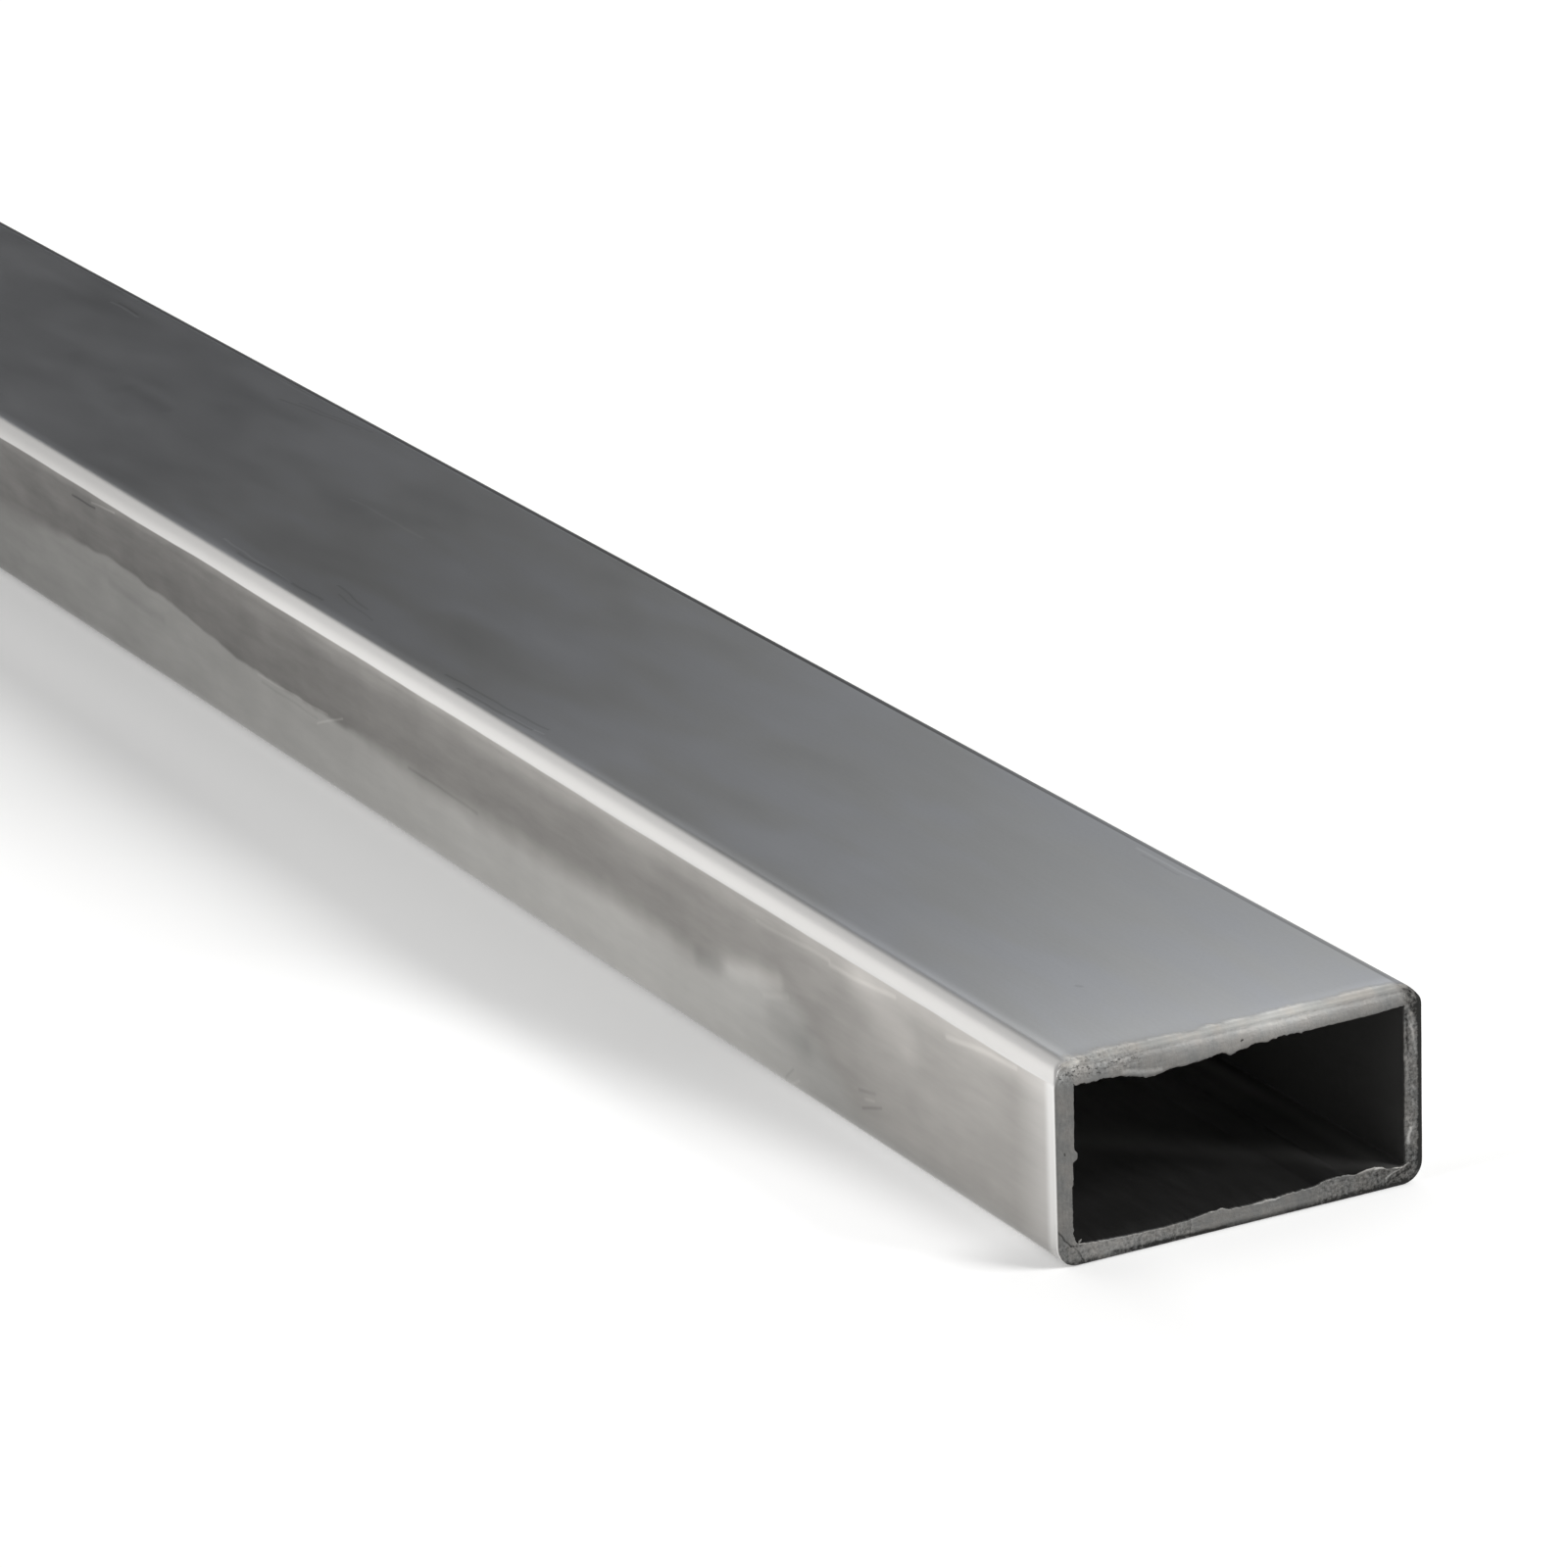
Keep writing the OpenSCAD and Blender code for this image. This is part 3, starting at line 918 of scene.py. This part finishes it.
def floor_material(studio):
    """White paper. Where it is seen, plainly or in metal, a little is added so that it comes out white.

    More is added beside the near cut and in front of it, painted light that fades the shadow out, and less
    in the broad shadow behind, painted shade that darkens it."""
    material, graph = blank_material("white paper")
    path = graph.node("ShaderNodeLightPath")
    seen = (path["Is Camera Ray"] + path["Is Glossy Ray"] + path["Is Transmission Ray"]).least(1)
    along, across, _ = graph.node("ShaderNodeTexCoord", output="Object").parts()
    behind = CAD_HIGH.x - along
    beside = CAD_LOW.y - across
    tube_length = CAD_HIGH.x - CAD_LOW.x
    # Painted light lifts the shadow near the cut, and painted shade darkens a broad band behind it.
    past_shadow = (beside - behind * SHADOW_SPREAD).ramp(-SHADOW_SOFTNESS, SHADOW_SOFTNESS)
    past_cut = behind.ramp(0.0, CUT_BLEND)
    fade = past_shadow * behind.ramp(FADE_GONE, FADE_FULL) * past_cut
    front = FRONT_LIFT * behind.ramp(FRONT_BLEND, -FRONT_BLEND) * beside.ramp(-FRONT_FROM, -FRONT_TO)
    near = NEAR_LIFT * behind.ramp(NEAR_GONE, NEAR_FULL) * past_cut
    broad = (BROAD_DROP * behind.ramp(BROAD_FROM, BROAD_FULL)
             * behind.ramp(tube_length, tube_length - FAR_END_BLEND)
             * beside.ramp(*BROAD_INSIDE) * beside.ramp(*BROAD_OUTSIDE))
    lift = studio.floor_lift + studio.shadow_fade * (fade.most(front) + near - broad)
    white = (1.0, 1.0, 1.0)
    matt_surface(graph, studio.floor_colour, graph.scaled(white, seen * lift))
    return material


def glowing_screen_material():
    """A glowing screen beside the tube, which no lamp lights: its glow is a painted reflection for the
    metal, bright by the near end and falling off into the dark.
    """
    material, graph = blank_material("glowing screen")
    along = graph.node("ShaderNodeTexCoord", output="Object").parts()[0]
    past_cut = along - CAD_HIGH.x
    # The painted glow is brightest by the near cut and falls off into the dark.
    falloff = graph.calculate("EXPONENT", (past_cut - SCREEN_GLOW_TO).least(0) / SCREEN_FALLOFF)
    lit = falloff * past_cut.ramp(SCREEN_GLOW_FROM + SCREEN_GLOW_OVER, SCREEN_GLOW_FROM)
    black = (0.0, 0.0, 0.0)
    matt_surface(graph, black, graph.scaled(SCREEN_COLOUR, SCREEN_LEAST_GLOW + SCREEN_GLOW * lit))
    return material


def add_sheet(scene, name, centre, width, height, facing, material):
    """A flat sheet of width and height round centre, whose front faces along facing."""
    turn = Vector(facing).to_track_quat("Z", "Y").to_matrix().to_4x4()
    corners = [turn @ Vector((x * width / 2, y * height / 2, 0)) + Vector(centre)
               for x, y in ((-1, -1), (1, -1), (1, 1), (-1, 1))]
    mesh = bpy.data.meshes.new(name)
    mesh.from_pydata(corners, [], [(0, 1, 2, 3)])
    mesh.materials.append(material)
    sheet = bpy.data.objects.new(name, mesh)
    scene.collection.objects.link(sheet)
    return sheet


def add_lamp(scene, name, kind, place, aim):
    lamp = bpy.data.lights.new(name, kind)
    stand = bpy.data.objects.new(name, lamp)
    direction = Vector(aim) - Vector(place)
    stand.matrix_world = Matrix.Translation(place) @ direction.to_track_quat("-Z", "Y").to_matrix().to_4x4()
    stand.visible_camera = False
    scene.collection.objects.link(stand)
    return lamp


class SCENE_OT_add_tube_studio(bpy.types.Operator):
    """Add the white floor, the soft lamps, the glowing screen of painted reflection, and the camera"""

    bl_idname = "scene.add_tube_studio"
    bl_label = "Add studio"

    def execute(self, context):
        scene = context.scene
        studio = scene.steel_tube.studio
        near_cut = Vector((CAD_HIGH.x, 0, 0))
        add_sheet(scene, "floor", (0, 0, CAD_LOW.z - FLOOR_GAP), *FLOOR_SIZE, (0, 0, 1),
                  floor_material(studio))
        world = bpy.data.worlds.new("even light")
        world.use_nodes = True
        background = world.node_tree.nodes["Background"]
        background.inputs["Color"].default_value = (1.0, 1.0, 1.0, 1.0)
        background.inputs["Strength"].default_value = studio.sky
        scene.world = world

        key_place = near_cut + KEY_REACH * direction_to(KEY_HEADING, KEY_HEIGHT)
        key = add_lamp(scene, "key lamp", "SUN", key_place, near_cut)
        key.energy = studio.key
        key.angle = KEY_WIDTH
        for name, heading, glow in (("edge softbox", EDGE_BOX_HEADING, studio.edge_box),
                                    ("back softbox", BACK_BOX_HEADING, studio.back_box)):
            middle = near_cut + Vector((0, 0, SOFTBOX_SIZE[1] / 2))
            box_place = middle + SOFTBOX_REACH * direction_to(heading, 0.0)
            softbox = add_lamp(scene, name, "AREA", box_place, middle)
            softbox.shape = "RECTANGLE"
            softbox.size, softbox.size_y = SOFTBOX_SIZE
            softbox.color = SOFTBOX_COLOUR
            softbox.energy = glow * math.pi * SOFTBOX_SIZE[0] * SOFTBOX_SIZE[1]

        screen = add_sheet(scene, "glowing screen", near_cut + Vector(SCREEN_PLACE), *SCREEN_SIZE, (0, -1, 0),
                           glowing_screen_material())
        # The screen's glow is seen only in reflections, as painted reflection.
        screen.visible_camera = False
        screen.visible_diffuse = False
        screen.visible_shadow = False
        screen.visible_transmission = False
        add_camera(scene)
        scene.view_settings.view_transform = "Standard"
        return {"FINISHED"}


class VIEW3D_PT_steel_tube(bpy.types.Panel):
    bl_label = "Steel tube"
    bl_space_type = "VIEW_3D"
    bl_region_type = "UI"
    bl_category = "Steel tube"

    def draw(self, context):
        settings = context.scene.steel_tube
        for title, group in (("Section", settings.sizes), ("Cuts", settings.wear),
                             ("Finish", settings.finish), ("Studio", settings.studio)):
            box = self.layout.box()
            box.label(text=title)
            for name in group.__annotations__:
                box.prop(group, name)
        self.layout.operator(MESH_OT_add_hollow_section.bl_idname)
        self.layout.operator(SCENE_OT_add_tube_studio.bl_idname)


CLASSES = (SectionSizes, CutWear, SteelFinish, StudioSettings, TubeSettings,
           MESH_OT_add_hollow_section, SCENE_OT_add_tube_studio, VIEW3D_PT_steel_tube)


def register():
    for kind in CLASSES:
        bpy.utils.register_class(kind)
    bpy.types.Scene.steel_tube = PointerProperty(type=TubeSettings)


def unregister():
    del bpy.types.Scene.steel_tube
    for kind in reversed(CLASSES):
        bpy.utils.unregister_class(kind)


def main():
    register()
    bpy.ops.mesh.add_hollow_section()
    bpy.ops.scene.add_tube_studio()


if __name__ == "__main__":
    main()
